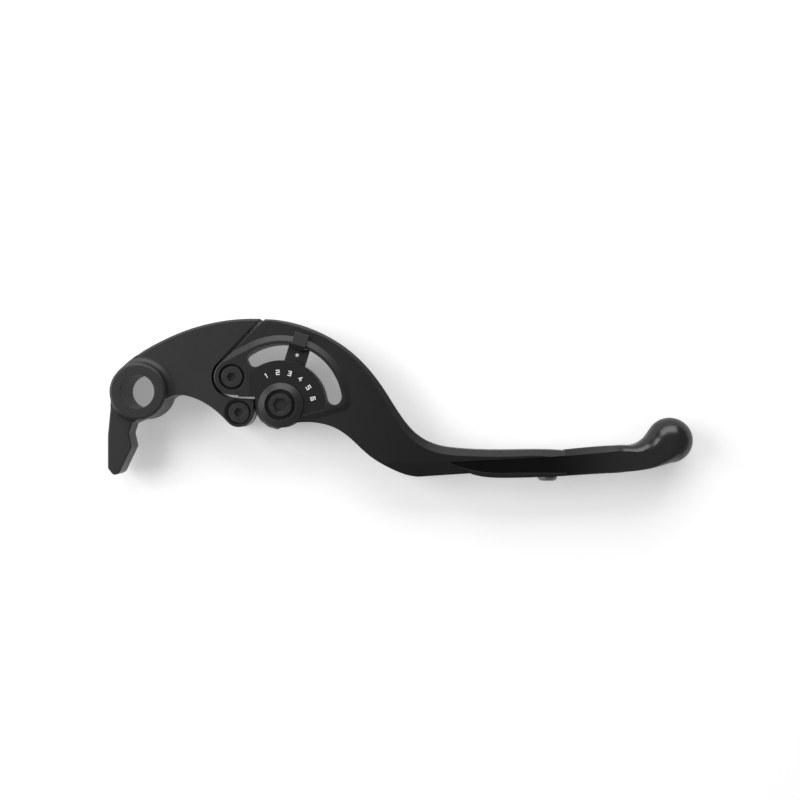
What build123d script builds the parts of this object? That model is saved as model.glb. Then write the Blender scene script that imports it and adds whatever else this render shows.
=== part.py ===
from build123d import *
from math import acos, atan2, copysign, cos, degrees, hypot, pi, radians, sin
import os

# Adjustable control lever for a motorcycle, with a six-position reach dial. Millimetres.
# The origin is the centre of the pivot bore. +Z is the pivot axis, towards the numbered side,
# +X runs along the lever to the ball end, and +Y points away from the handlebar.

# ---- levels along Z -------------------------------------------------------------------------
BOSS_HALF = 7.5            # pivot boss
BODY_HALF = 4.9            # adapter web and the blade near the split
ARM_HALF = 4.6             # blade behind the tip
FINGER_HALF = 4.3          # pushing finger
DIAL_TOP = 5.8             # raised face that carries the numerals
UNDER_FLOOR = 4.3          # seat of the washer in the lower face
PLATE_BOTTOM = 3.3         # underside of the scale plate
CHEEK_FACE = 2.3           # inner faces of the blade's two cheeks
TONGUE_HALF = 2.0          # adapter's tongue between the cheeks
EAR_HALF = 4.1             # lobe that carries the contact sleeve
SLEEVE_HALF = 2.2
CAM_BOTTOM = -2.2
CAM_TOP = 1.0
ARM_BOTTOM = 1.1           # indicator arm
ARM_TOP = 2.5
RING_TOP = 7.5
FIT = 0.04                 # radial running clearance
GAP = 0.02                 # gap between faces that only meet
OVER = 1.0                 # how far a cutter runs past a face

# ---- main centres in the XY plane -----------------------------------------------------------
HINGE = (27.5, 4.3)        # blade's hinge in the adapter
CONTACT = (29.4, -6.25)    # screw and sleeve that the cam bears on
DIAL = (42.0, -4.0)        # axis of cam, ring and indicator arm

# ---- pivot boss and finger ------------------------------------------------------------------
BORE_R = 5.0
BOSS_R = 8.35
BOSS_EDGE_R = 0.8
WEB_FOOT = 2.4             # reach of the hollow fillet between boss and web
FINGER_FOOT = 1.5          # and between boss and finger
EDGE = 0.3                 # small bevel on the adapter's outlines
TOP_BEVEL = 0.65           # wider bevel along the adapter's outer edge
TOE_R = 1.2
HOLLOW_R = 0.8
PAD_X = -9.55              # contact face of the finger

# ---- hinge ----------------------------------------------------------------------------------
HINGE_BOSS_R = 5.3
SEAT_R = 6.1
EYE_R = 5.0
TONGUE_TOP = 3.6           # tongue's upper edge above the hinge
TONGUE_LOW = 4.4
TONGUE_ROOT_X = 18.0       # where the tongue starts inside the web
SHANK_R = 2.0
BUSH_R = 3.0
HEAD_R = 3.3
HEAD_H = 1.6
HEAD_EDGE = 0.35
SHANK_EDGE = 0.3
HINGE_SEAT = 4.1           # Z of the seat under the hinge screw's head
CONTACT_SEAT = 3.0         # and under the contact screw's
COUNTERBORE_R = 3.85       # of the hinge screw's head
SPOTFACE_R = 3.55          # of the contact screw's head
SOCKET_AF = 2.5
SOCKET_DEPTH = 1.1
HINGE_NUT_AF = 7.0
HINGE_NUT_H = 1.8
WASHER_R = 4.3

# ---- contact lobe ---------------------------------------------------------------------------
EAR_R = 4.3
SPOT_R = 4.2
SLEEVE_R = 4.2
LOBE_TOP = -1.95           # Y of the lobe's upper edge near the hinge
LOBE_TOP_FAR = -2.2        # and at its other end
BLADE_LOW = -1.55          # Y of the blade's edge above the lobe
SLEEVE_EDGE = 0.25         # bevel on the sleeve's ends
SLOT_CLEAR = 0.4           # room round the sleeve in the slot between the ears
LOBE_POCKET_X = (26.0, 36.0)        # pocket in the blade that the lobe enters
LOBE_POCKET_Y = (-12.0, -0.5)

# ---- dial -----------------------------------------------------------------------------------
STEP_DEG = 21.0            # turn of the dial between two positions
STEP_REACH = 0.28          # change of the cam's radius between two positions
POSITIONS = 6
REST_POSITION = 3
CAM_GAP = 0.25
CAM_BACK_R = 8.6
CAM_FREE_R = 6.8
CAM_POCKET_R = 9.3
JOURNAL_R = 4.0
CAM_EDGE = 0.2
RING_R = 6.6
RING_EDGE = 1.85           # width of the ring's bevel
RING_EDGE_H = 1.25         # and its height
RING_RECESS_R = 4.6
RING_BOTTOM = DIAL_TOP + 0.1
BOLT_DROP = 0.3            # how far the bolt's head lies below the ring's top
BOLT_EDGE = 0.4
SKIRT_R = 5.0
BOLT_R = 2.5
BOLT_HEAD_R = 3.7
BOLT_SOCKET_AF = 4.0
DIAL_COVER_R = 6.4
CAM_WASHER_R = 5.4
CAM_WASHER_H = 0.7
WASHER_TOP = UNDER_FLOOR + 0.05
CAM_NUT_AF = 8.0
CAM_NUT_BOTTOM = -6.5
WINDOW_R = 15.7
WINDOW_HALF = 2.45
WINDOW_FROM = 9.0          # angles of the window's end centres, from +X
WINDOW_TO = 119.0
WINDOW_RELIEF = 5.0        # further turn of the window's end in the lower cheek
ARM_ANGLE = 73.2
ARM_HALF_WIDTH = 3.2
HUB_R = 6.3
KEY_AF = 6.4
RISER_HALF_WIDTH = 1.2
TAB_HALF_WIDTH = 2.15      # at the tab's outer end
TAB_ROOT_WIDTH = 2.0       # and at its root
TAB_INNER = 16.7
RISER_OUTER = 17.9
TAB_ROOT = 17.2            # inner end of the tab, above the raised face
TAB_CREST = 18.4           # highest line of the tab
TAB_TOP = 7.3
TAB_RAMP = 47.0            # slope up to the crest from the dial's side
TAB_OUTER = 22.05
TAB_TILT = 12.0            # and down from it to the tab's end
TAB_CLEAR = 0.2            # gap between the tab and the raised face
DOT_R = 0.5
DOT_AT = 15.55
DOT_DEPTH = 0.4
SWEEP_CLEAR = 0.3          # room round the arm over its whole travel
RAISED_R = 20.7            # foot of the raised face's sloped edge, round the dial
RAISED_SLOPE = 1.7         # width of that sloped edge
RAISED_RIM = 0.25          # what is left of it round the hinge
RAISED_LINE_ANGLE = 15.0   # lower side of the raised face, through RAISED_LINE_AT
RAISED_LINE_AT = (48.5, -9.1)
RAISED_LINE_BACK = 9.0      # how far that line runs back past the point
RAISED_CORNER_R = 3.4
RAISED_HINGE_END = 235.0   # where the outline leaves the hinge's circle
RAISED_CLOSE_Y = -14.0     # closing side, outside the blade
PLATE_INSET = 0.3          # from the raised face's upper edge to the scale plate
PLATE_R = 13.2
PLATE_LEFT = 32.4
DETENT_ANGLE = 50.0
DETENT_Z = -0.6
DETENT_BALL_R = 1.0
DETENT_BORE_END = 12.8
NOTCH_DEPTH = 0.3

# ---- blade and tip --------------------------------------------------------------------------
SPLIT_ANGLE = 45.0
SPLIT_TOP_GAP = 1.15       # gap at the outer end of the split, which leaves room for position 1
BLADE_END = 126.5
TAPER_FROM = 66.0
TAPER_TO = 98.0
BEVEL_PAST = 0.5           # how far the outer bevel's cutter runs past the edge's ends
BALL = (158.25, -14.6)
BALL_R = 6.8
TIP_SCREW_X = 121.5
TIP_SCREW_R = 1.5
TIP_HEAD_R = 2.9
TIP_HEAD_H = 1.2
TIP_HEAD_EDGE_R = 1.0
TIP_SOCKET_R = 1.0
TIP_SOCKET_DEPTH = 1.0
TIP_SHANK = 4.8
TIP_THREAD_Y = -22.3       # middle of the threaded insert
INSERT_R = 2.1
INSERT_LENGTH = 3.5
QUARTER_POINTS = 5         # points that shape a quarter of the tip's sections
RAIL_INNER = -24.1         # Y of the slot's lower side
RAIL_OUTER = -25.4
INSERT_FIT = 0.05          # clearance of the insert's tongue in the slot
INSERT_DROP = 0.15         # how far the glossy insert lies below the blade's face


def at(centre, radius, angle):
    """A point at a radius and an angle in degrees from a centre."""
    return (centre[0] + radius * cos(radians(angle)), centre[1] + radius * sin(radians(angle)))


def disc(centre, radius, low, high):
    """An upright cylinder."""
    return Pos(centre[0], centre[1], (low + high) / 2) * Cylinder(radius, high - low)


def slab(face, low, high):
    """A flat face extruded from one level to another."""
    return extrude(Pos(0, 0, low) * face, high - low, dir=(0, 0, 1))


def block(x_range, y_range, low, high):
    """An upright box between four sides and two levels."""
    wide = x_range[1] - x_range[0]
    deep = y_range[1] - y_range[0]
    middle = Pos((x_range[0] + x_range[1]) / 2, (y_range[0] + y_range[1]) / 2, (low + high) / 2)
    return middle * Box(wide, deep, high - low)


def hex_prism(centre, across_flats, low, high):
    """An upright hexagonal prism."""
    face = Pos(centre[0], centre[1]) * RegularPolygon(across_flats / 2, 6, major_radius=False)
    return slab(face, low, high)


def bar(centre, angle, start, end, half_width, low, high):
    """A straight bar that runs out from a centre at an angle."""
    middle = at(centre, (start + end) / 2, angle)
    turned = Pos(middle[0], middle[1], (low + high) / 2) * Rot(0, 0, angle)
    return turned * Box(end - start, 2 * half_width, high - low)


def spring(start, direction, length, coil_r, wire_r, turns):
    """A compression spring along a direction, inside the given length."""
    rise = length - 2 * wire_r
    coil = Helix(rise / turns, rise, coil_r)
    section = Plane(coil @ 0, z_dir=coil % 0) * Circle(wire_r)
    body = sweep(section, path=coil, is_frenet=True)
    return Plane(start, z_dir=direction) * Pos(0, 0, wire_r) * body


# ---- the split between adapter and blade ----------------------------------------------------
# The blade's face is a straight line that leaves the hinge boss at its tangent. The adapter's
# face opens away from it, so that the blade can swing out to the first position.
SPLIT_START = at(HINGE, HINGE_BOSS_R, SPLIT_ANGLE + 90)
SPLIT_RUN = 19.0
SPLIT_END = at(SPLIT_START, SPLIT_RUN, SPLIT_ANGLE)
SEAT_START = at(HINGE, SEAT_R, SPLIT_ANGLE + 90)
SEAT_SPLIT_END = at(at(SPLIT_END, -1.0, SPLIT_ANGLE), SPLIT_TOP_GAP, SPLIT_ANGLE + 90)


# ---- adapter --------------------------------------------------------------------------------
def web_face():
    """Outline of the web and the contact lobe."""
    top = Spline([(-7.0, 4.4), (-2.2, 9.7), (5.8, 14.7), (14.5, 18.45), (24.0, 20.85), SEAT_SPLIT_END])
    seat_low = (HINGE[0], HINGE[1] - SEAT_R)
    seat = ThreePointArc(SEAT_START, at(HINGE, SEAT_R, 200), seat_low)
    lobe_right = (CONTACT[0] + EAR_R, CONTACT[1])
    lobe_side = Polyline(seat_low, (seat_low[0] + 1.0, LOBE_TOP), (lobe_right[0], LOBE_TOP_FAR), lobe_right)
    lobe = ThreePointArc(lobe_right, at(CONTACT, EAR_R, 280), at(CONTACT, EAR_R, 225))
    low = Spline([at(CONTACT, EAR_R, 225), (20.3, -3.95), (14.8, -1.45), (11.0, -1.0), (8.2, -2.2)])
    close = Polyline((8.2, -2.2), (0, -4.0), (-7.0, 4.4))
    split = Line(SEAT_SPLIT_END, SEAT_START)
    return make_face([top, split, seat, lobe_side, lobe, low, close])


def finger_face():
    """Outline of the pushing finger, with its flat contact face on the left."""
    toe = [(PAD_X, -22.8), (-7.75, -25.1), (-6.1, -24.1)]
    hollow = [(-2.45, -16.4), (-3.3, -12.4), (-2.4, -9.5)]
    points = [(-7.6, 2.5), (-8.7, -4.0), (PAD_X, -13.0), *toe, *hollow, (0.4, -8.1), (4.0, -2.0), (-7.6, 2.5)]
    face = make_face(Polyline(*points))
    corners = face.vertices()
    toe_corners = [v for v in corners if (v.X, v.Y) in toe]
    face = fillet(toe_corners, TOE_R)
    hollow_corners = [v for v in face.vertices() if (v.X, v.Y) in hollow]
    return fillet(hollow_corners, HOLLOW_R)


def boss_foot(level, reach):
    """Hollow fillet that leads from the boss's wall down to a face at a level, on both sides."""
    rise = 0.8 * (BOSS_HALF - level)
    outer = BOSS_R + reach
    inner = BOSS_R - OVER
    cove = ThreePointArc(
        (outer, 0, level),
        (BOSS_R + reach * 0.33, 0, level + rise * 0.3),
        (BOSS_R, 0, level + rise),
    )
    edge = [
        Line((inner, 0, 0), (outer, 0, 0)),
        Line((outer, 0, 0), (outer, 0, level)),
        cove,
        Line((BOSS_R, 0, level + rise), (inner, 0, level + rise)),
        Line((inner, 0, level + rise), (inner, 0, 0)),
    ]
    upper = revolve(make_face(edge), Axis.Z, 360)
    return upper + mirror(upper, Plane.XY)


def adapter():
    """Pivot boss, finger, web, tongue and lobe in one piece."""
    web = slab(web_face(), -BODY_HALF, BODY_HALF)
    outer_rims = web.faces().filter_by(Plane.XY).edges().filter_by(lambda e: e.length > 40)
    web = chamfer(outer_rims, TOP_BEVEL)
    finger = slab(finger_face(), -FINGER_HALF, FINGER_HALF)
    free_rims = finger.faces().filter_by(Plane.XY).edges().filter_by(lambda e: e.center().Y < -BOSS_R - 0.2)
    finger = chamfer(free_rims, EDGE)
    foot = boss_foot(BODY_HALF, WEB_FOOT) & slab(web_face(), -BOSS_HALF, BOSS_HALF)
    foot += boss_foot(FINGER_HALF, FINGER_FOOT) & slab(finger_face(), -BOSS_HALF, BOSS_HALF)
    # Above and below the lobe the web steps down to the ears.
    beside_lobe = Pos(CONTACT[0] + SPOT_R, CONTACT[1] - 1) * Rectangle(2 * SPOT_R, 2 * SPOT_R + 2)
    step_face = Pos(*CONTACT) * Circle(SPOT_R) + beside_lobe
    for side in (1, -1):
        low, high = sorted((side * EAR_HALF, side * (BODY_HALF + OVER)))
        web -= slab(step_face, low, high)
    eye = disc(HINGE, EYE_R, -TONGUE_HALF, TONGUE_HALF)
    root_y = (HINGE[1] - TONGUE_LOW, HINGE[1] + TONGUE_TOP)
    root = block((TONGUE_ROOT_X, HINGE[0]), root_y, -TONGUE_HALF, TONGUE_HALF)
    boss = disc((0, 0), BOSS_R, -BOSS_HALF, BOSS_HALF)
    boss = fillet(boss.edges().filter_by(GeomType.CIRCLE), BOSS_EDGE_R)
    body = web + finger + foot + boss + eye + root
    body -= disc((0, 0), BORE_R, -BOSS_HALF - OVER, BOSS_HALF + OVER)
    for turn in (0, 180):
        body -= Rot(turn, 0, 0) * Pos(0, 0, BOSS_HALF) * Cone(BORE_R - EDGE, BORE_R + EDGE, 2 * EDGE)
    body -= disc(HINGE, BUSH_R, -TONGUE_HALF - OVER, TONGUE_HALF + OVER)
    # Slot between the ears for the sleeve and the cam.
    slot_half = SLEEVE_HALF + 0.1
    slot_r = SLEEVE_R + SLOT_CLEAR
    slot_y = (CONTACT[1] - slot_r, CONTACT[1] + slot_r)
    body -= disc(CONTACT, slot_r, -slot_half, slot_half)
    body -= block((CONTACT[0], CONTACT[0] + 2 * SLEEVE_R), slot_y, -slot_half, slot_half)
    body -= disc(CONTACT, SHANK_R + FIT, -BODY_HALF, BODY_HALF)
    body -= disc(CONTACT, SPOTFACE_R, CONTACT_SEAT, BODY_HALF + OVER)
    return body


def hinge_bush():
    """Bush pressed into the tongue, in which the hinge screw turns."""
    body = disc(HINGE, BUSH_R, -TONGUE_HALF, TONGUE_HALF)
    return body - disc(HINGE, SHANK_R + FIT, -TONGUE_HALF - OVER, TONGUE_HALF + OVER)


def contact_sleeve():
    """Hardened sleeve that the cam's flats bear on."""
    body = disc(CONTACT, SLEEVE_R, -SLEEVE_HALF, SLEEVE_HALF)
    body = chamfer(body.edges().filter_by(GeomType.CIRCLE), SLEEVE_EDGE)
    return body - disc(CONTACT, SHANK_R + FIT, -SLEEVE_HALF - OVER, SLEEVE_HALF + OVER)


def low_head_screw(centre, seat, end):
    """Low-head socket screw, from the seat of its head down to an end level."""
    top = seat + HEAD_H
    head = disc(centre, HEAD_R, seat, top)
    top_edge = head.edges().filter_by(GeomType.CIRCLE).sort_by(Axis.Z)[-1:]
    head = chamfer(top_edge, HEAD_EDGE)
    shank = disc(centre, SHANK_R, end, seat)
    shank = chamfer(shank.edges().filter_by(GeomType.CIRCLE).sort_by(Axis.Z)[:1], SHANK_EDGE)
    return head + shank - hex_prism(centre, SOCKET_AF, top - SOCKET_DEPTH, top + OVER)


def hinge_nut():
    """Thin nut of the hinge screw, sunk in the lower cheek."""
    body = hex_prism(HINGE, HINGE_NUT_AF, -BODY_HALF, -BODY_HALF + HINGE_NUT_H)
    return body - disc(HINGE, SHANK_R + GAP, -BODY_HALF - OVER, 0)


def hinge_washers():
    """Thin washers between the tongue and the two cheeks."""
    rings = []
    for side in (1, -1):
        low, high = sorted((side * (TONGUE_HALF + GAP), side * (CHEEK_FACE - GAP)))
        rings.append(disc(HINGE, WASHER_R, low, high) - disc(HINGE, SHANK_R + FIT, low - OVER, high + OVER))
    return Compound(children=rings)


# ---- blade ----------------------------------------------------------------------------------
SEAM_TOP = (BLADE_END, -17.65)      # seam between blade and tip
SEAM_LOW = (BLADE_END, -25.0)
FACET_TIP = (98.0, -24.35)          # ends of the straight run under the neck's facet
FACET_HEEL = (82.6, -25.35)
DIAL_SIDE = (46.0, -9.3)            # where the inner edge meets the dial


def outer_edge():
    """The blade's outer edge, from the split to the seam at the tip."""
    points = [
        SPLIT_END, (44.1, 20.7), (52.1, 18.15), (60.2, 13.7), (66.2, 8.55), (72.15, 1.1),
        (78.1, -8.1), (82.6, -13.0), (88.0, -15.8), (95.0, -17.0), (108.0, -17.45), SEAM_TOP,
    ]
    return Spline(points)


def inner_edge():
    """The blade's inner edge, from the seam at the tip back to the dial."""
    rail = Spline([SEAM_LOW, (118.0, RAIL_OUTER), (109.0, -25.6), (103.0, -25.4), FACET_TIP])
    facet = Line(FACET_TIP, FACET_HEEL)
    neck = Spline([
        FACET_HEEL, (79.5, -24.85), (74.0, -22.6), (68.0, -18.9), (62.5, -13.85),
        (58.0, -10.8), (53.5, -9.4), DIAL_SIDE,
    ])
    return rail, facet, neck


def blade_face():
    """Outline of the blade with the hinge boss and the round dial seat."""
    rail, facet, neck = inner_edge()
    outer = outer_edge()
    close = Polyline(DIAL_SIDE, DIAL, (36.2, BLADE_LOW), (29.5, BLADE_LOW), HINGE, SPLIT_START)
    split = Line(SPLIT_START, SPLIT_END)
    face = make_face([split, outer, Line(SEAM_TOP, SEAM_LOW), rail, facet, neck, close])
    return face + Pos(*HINGE) * Circle(HINGE_BOSS_R) + Pos(*DIAL) * Circle(DIAL_COVER_R)


def face_level(x):
    """Half thickness of the blade at a place along the lever."""
    run = min(max((x - TAPER_FROM) / (TAPER_TO - TAPER_FROM), 0), 1)
    ease = run * run * (3 - 2 * run)
    return BODY_HALF + (ARM_HALF - BODY_HALF) * ease


def taper_cutter():
    """Everything above the blade's face where it thins towards the tip."""
    count = 9
    stations = [TAPER_FROM + (TAPER_TO - TAPER_FROM) * i / (count - 1) for i in range(count)]
    curve = Spline([(x, 0, face_level(x)) for x in stations], tangents=[(1, 0, 0), (1, 0, 0)])
    end = BLADE_END + 40
    high = BODY_HALF + 4
    thin_side = [(TAPER_TO, ARM_HALF), (end, ARM_HALF), (end, high)]
    thick_side = [(TAPER_FROM, high), (TAPER_FROM, BODY_HALF)]
    rest = Polyline(*[(x, 0, z) for x, z in thin_side + thick_side])
    face = make_face([curve, rest])
    return extrude(face, 60, dir=(0, 1, 0), both=True)


def bevel_width(x):
    """Width of the bright bevel along the blade's outer edge."""
    stops = [(36.0, 0.7), (60.0, 0.8), (68.0, 1.15), (74.0, 1.65), (86.0, 2.2), (100.0, 1.9), (150.0, 1.5)]
    for (x0, w0), (x1, w1) in zip(stops, stops[1:]):
        if x <= x1:
            part = max(x - x0, 0) / (x1 - x0)
            return w0 + (w1 - w0) * part
    return stops[-1][1]


def bevel_section(point, tangent):
    """Triangle that trims the outer edge at one station."""
    inward = (tangent.Y, -tangent.X)
    width = bevel_width(point.X)
    depth = 0.85 * width
    top = face_level(point.X)
    reach = 2.0 / width

    def corner(along, fall):
        return (point.X + inward[0] * along, point.Y + inward[1] * along, top - fall)

    upper = corner(width * (1 + reach), -depth * reach)
    lower = corner(-width * reach, depth * (1 + reach))
    outside = corner(-width * reach, -depth * reach)
    return make_face(Polyline(upper, lower, outside, upper))


def outer_bevel(edge, count):
    """Cutter that bevels an outer edge of the upper face, lofted from just before it to just past it."""
    sections = []
    for i in range(count):
        place = i / (count - 1)
        past = {0: -BEVEL_PAST, count - 1: BEVEL_PAST}.get(i, 0)
        sections.append(bevel_section(edge @ place + edge % place * past, edge % place))
    return loft(sections)


def facet_cutter():
    """Shallow sloped facet on the inner side of the neck, in front of the insert."""
    left = Vector(76.0, -21.0, face_level(76.0))
    right = Vector(90.5, -20.7, face_level(90.5))
    low = Vector(83.0, -25.0, face_level(83.0) - 1.3)
    normal = (right - left).cross(low - left).normalized()
    if normal.Z < 0:
        normal = normal * -1
    plane = Plane(origin=left, x_dir=(right - left).normalized(), z_dir=normal)
    above = plane * Pos(10, 0, 5) * Box(60, 40, 10)
    corners = [(70, -20.0), (90.5, -20.7), (98.4, -23.9), (98.4, -27), (70, -27), (70, -20.0)]
    region = make_face(Polyline(*corners))
    return above & slab(region, 0, 12)


def window_face(end):
    """Arc-shaped window with round ends, concentric with the dial, up to an end angle."""
    inner_r = WINDOW_R - WINDOW_HALF
    outer_r = WINDOW_R + WINDOW_HALF
    middle = (WINDOW_FROM + end) / 2
    edges = [
        ThreePointArc(at(DIAL, inner_r, WINDOW_FROM), at(DIAL, inner_r, middle), at(DIAL, inner_r, end)),
        ThreePointArc(
            at(DIAL, inner_r, end), at(at(DIAL, WINDOW_R, end), WINDOW_HALF, end + 90), at(DIAL, outer_r, end)
        ),
        ThreePointArc(at(DIAL, outer_r, end), at(DIAL, outer_r, middle), at(DIAL, outer_r, WINDOW_FROM)),
        ThreePointArc(
            at(DIAL, outer_r, WINDOW_FROM),
            at(at(DIAL, WINDOW_R, WINDOW_FROM), WINDOW_HALF, WINDOW_FROM - 90),
            at(DIAL, inner_r, WINDOW_FROM),
        ),
    ]
    return make_face(edges)


def raised_outline(inset):
    """Outline of the raised face: a belt round dial and hinge, cut off by a line below the dial."""
    dial_r = RAISED_R - inset
    hinge_r = HINGE_BOSS_R - RAISED_RIM + RAISED_SLOPE - inset
    apart = (HINGE[0] - DIAL[0], HINGE[1] - DIAL[1])
    belt = degrees(atan2(apart[1], apart[0]) - acos((dial_r - hinge_r) / hypot(*apart)))
    line_point = at(RAISED_LINE_AT, inset, RAISED_LINE_ANGLE + 90)
    line_start = at(line_point, -RAISED_LINE_BACK, RAISED_LINE_ANGLE)
    # The line meets the dial's circle where its distance from the dial's centre fits.
    normal = RAISED_LINE_ANGLE - 90
    away = (line_start[0] - DIAL[0]) * cos(radians(normal)) + (line_start[1] - DIAL[1]) * sin(radians(normal))
    meet_angle = normal + degrees(acos(away / dial_r))
    meet = at(DIAL, dial_r, meet_angle)
    hinge_low = at(HINGE, hinge_r, RAISED_HINGE_END)
    face = make_face([
        Line(line_start, meet),
        ThreePointArc(meet, at(DIAL, dial_r, (meet_angle + belt) / 2), at(DIAL, dial_r, belt)),
        Line(at(DIAL, dial_r, belt), at(HINGE, hinge_r, belt)),
        ThreePointArc(at(HINGE, hinge_r, belt), at(HINGE, hinge_r, 180), hinge_low),
        Polyline(hinge_low, (hinge_low[0], RAISED_CLOSE_Y), (line_start[0], RAISED_CLOSE_Y), line_start),
    ])
    corner = face.vertices().sort_by_distance(Vector(*meet))[:1]
    return fillet(corner, RAISED_CORNER_R - inset)


def raised_body():
    """Raised face with its sloped edge, on top of the blade's face."""
    foot = Pos(0, 0, BODY_HALF) * raised_outline(0)
    top = Pos(0, 0, DIAL_TOP) * raised_outline(RAISED_SLOPE)
    body = loft([foot, top], ruled=True)
    return body & slab(blade_face(), 0, DIAL_TOP + OVER)


def plate_face():
    """Outline of the scale plate inside the window's arc."""
    fan = Pos(*DIAL) * Circle(PLATE_R)
    right_of = Pos(PLATE_LEFT + 30, 0) * Rectangle(60, 80)
    inside = raised_outline(RAISED_SLOPE + PLATE_INSET) + Pos(*DIAL) * Circle(RING_R - PLATE_INSET)
    return fan & right_of & inside & blade_face()


def arm_sweep_face():
    """Space that the indicator arm sweeps between the first and the last position."""
    first = ARM_ANGLE + (REST_POSITION - 1) * STEP_DEG
    last = ARM_ANGLE - (POSITIONS - REST_POSITION) * STEP_DEG
    reach = RISER_OUTER + SWEEP_CLEAR
    side = ARM_HALF_WIDTH + SWEEP_CLEAR
    middle = (first + last) / 2
    sector = make_face([
        Line(DIAL, at(DIAL, reach, last)),
        ThreePointArc(at(DIAL, reach, last), at(DIAL, reach, middle), at(DIAL, reach, first)),
        Line(at(DIAL, reach, first), DIAL),
    ])
    for angle in (first, last):
        sector += Pos(*at(DIAL, reach / 2, angle)) * Rot(0, 0, angle) * Rectangle(reach, 2 * side)
    return sector & Pos(*DIAL) * Circle(reach)


SLOT_POINT = (91.6, -20.9)


def slot_face(inset):
    """Lens-shaped slot in the arm that takes the insert's tongue, drawn in by an inset."""
    point = (SLOT_POINT[0] + 2 * inset, SLOT_POINT[1])
    above = [(99.0, -20.55), (110.0, -20.0), (120.0, -19.5), (BLADE_END + OVER, -19.0)]
    below = [(112.0, RAIL_INNER), (103.5, -24.0), (97.5, -23.05)]
    above = [(x, y - inset) for x, y in above]
    below = [(x, y + inset) for x, y in below]
    upper = Spline([point, *above])
    lower = Spline([*below, point])
    close = Polyline(above[-1], (BLADE_END + OVER, RAIL_INNER + inset), below[0])
    return make_face([upper, close, lower])


def detent_bore(radius, start, end):
    """Cylinder that runs out radially from the dial's axis at the detent."""
    first = at(DIAL, start, DETENT_ANGLE)
    direction = (cos(radians(DETENT_ANGLE)), sin(radians(DETENT_ANGLE)), 0)
    return Plane((first[0], first[1], DETENT_Z), z_dir=direction) * Pos(0, 0, (end - start) / 2) * Cylinder(
        radius, end - start
    )


RETURN_AT = at(SPLIT_START, 13.3, SPLIT_ANGLE)
RETURN_DIR = (cos(radians(SPLIT_ANGLE - 90)), sin(radians(SPLIT_ANGLE - 90)), 0)
RETURN_BORE_R = 1.6
RETURN_DEPTH = 3.4


def beside_split(edge):
    """Whether an edge runs along the split or round the hinge."""
    middle = edge @ 0.5
    on_boss = abs(hypot(middle.X - HINGE[0], middle.Y - HINGE[1]) - HINGE_BOSS_R) < GAP
    line = edge.geom_type == GeomType.LINE
    return on_boss or (line and abs(edge.length - SPLIT_RUN) < GAP)


def blade():
    """Dial housing, neck and arm in one piece, with cheeks on both sides of the tongue."""
    body = slab(blade_face(), -BODY_HALF, BODY_HALF)
    low_face = body.faces().filter_by(Plane.XY).sort_by(Axis.Z)[0]
    body = chamfer(low_face.edges().filter_by(beside_split), EDGE)
    for cutter in (taper_cutter(), outer_bevel(outer_edge(), 15), facet_cutter()):
        body -= cutter
        body -= mirror(cutter, Plane.XY)
    body += raised_body()
    body -= slab(plate_face(), PLATE_BOTTOM, DIAL_TOP + OVER)
    body -= slab(arm_sweep_face(), CAM_TOP + GAP, PLATE_BOTTOM)
    body -= slab(window_face(WINDOW_TO), -BODY_HALF - OVER, DIAL_TOP + OVER)
    body -= slab(window_face(WINDOW_TO + WINDOW_RELIEF), -BODY_HALF - OVER, CAM_TOP + GAP)
    body -= disc(DIAL, CAM_POCKET_R, -CHEEK_FACE, PLATE_BOTTOM)
    # The pocket round the hinge is open towards the adapter, and the cam's towards the lobe.
    body -= disc(HINGE, HINGE_BOSS_R + 0.1, -CHEEK_FACE, CHEEK_FACE)
    body -= block(LOBE_POCKET_X, LOBE_POCKET_Y, -CHEEK_FACE, CHEEK_FACE)
    body -= disc(HINGE, SHANK_R + GAP, -BODY_HALF - OVER, DIAL_TOP)
    body -= disc(HINGE, COUNTERBORE_R, HINGE_SEAT, DIAL_TOP + OVER)
    body -= hex_prism(HINGE, HINGE_NUT_AF + 0.1, -BODY_HALF - OVER, -BODY_HALF + HINGE_NUT_H)
    body -= disc(DIAL, JOURNAL_R + FIT, -BODY_HALF - OVER, 0)
    body -= disc(DIAL, CAM_WASHER_R + 0.3, -BODY_HALF - OVER, -UNDER_FLOOR)
    body -= detent_bore(DETENT_BALL_R + 0.1, CAM_POCKET_R - 0.5, DETENT_BORE_END)
    start = (RETURN_AT[0], RETURN_AT[1], 0)
    body -= Plane(start, z_dir=RETURN_DIR) * Cylinder(RETURN_BORE_R, 2 * RETURN_DEPTH)
    body -= slab(slot_face(0), -BODY_HALF - OVER, BODY_HALF + OVER)
    body -= Pos(TIP_SCREW_X, RAIL_OUTER, 0) * Rot(90, 0, 0) * Cylinder(TIP_SCREW_R + GAP, 4)
    return body


def scale_plate():
    """Cover over the arm, round the ring's skirt, that carries the six numerals."""
    body = slab(plate_face(), PLATE_BOTTOM, DIAL_TOP)
    return body - disc(DIAL, SKIRT_R + FIT, PLATE_BOTTOM - OVER, DIAL_TOP + OVER)


def return_spring():
    """Spring across the split that keeps the cam against the sleeve."""
    start = at(RETURN_AT, RETURN_DEPTH - GAP, SPLIT_ANGLE - 90)
    back = (-RETURN_DIR[0], -RETURN_DIR[1], 0)
    return spring((start[0], start[1], 0), back, RETURN_DEPTH + 0.85, 1.15, 0.2, 5)


# ---- cam and dial ---------------------------------------------------------------------------
CONTACT_ANGLE = degrees(atan2(CONTACT[1] - DIAL[1], CONTACT[0] - DIAL[0])) % 360
REST_RADIUS = hypot(CONTACT[0] - DIAL[0], CONTACT[1] - DIAL[1]) - SLEEVE_R - CAM_GAP
CAM_FREE_FROM = CONTACT_ANGLE + (POSITIONS - REST_POSITION) * STEP_DEG + 14
CAM_FREE_TO = 345.0        # the cam's small side ends here, and the notched back starts
CAM_BACK_FROM = -6.0
CAM_BACK_TO = 126.0


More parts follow.
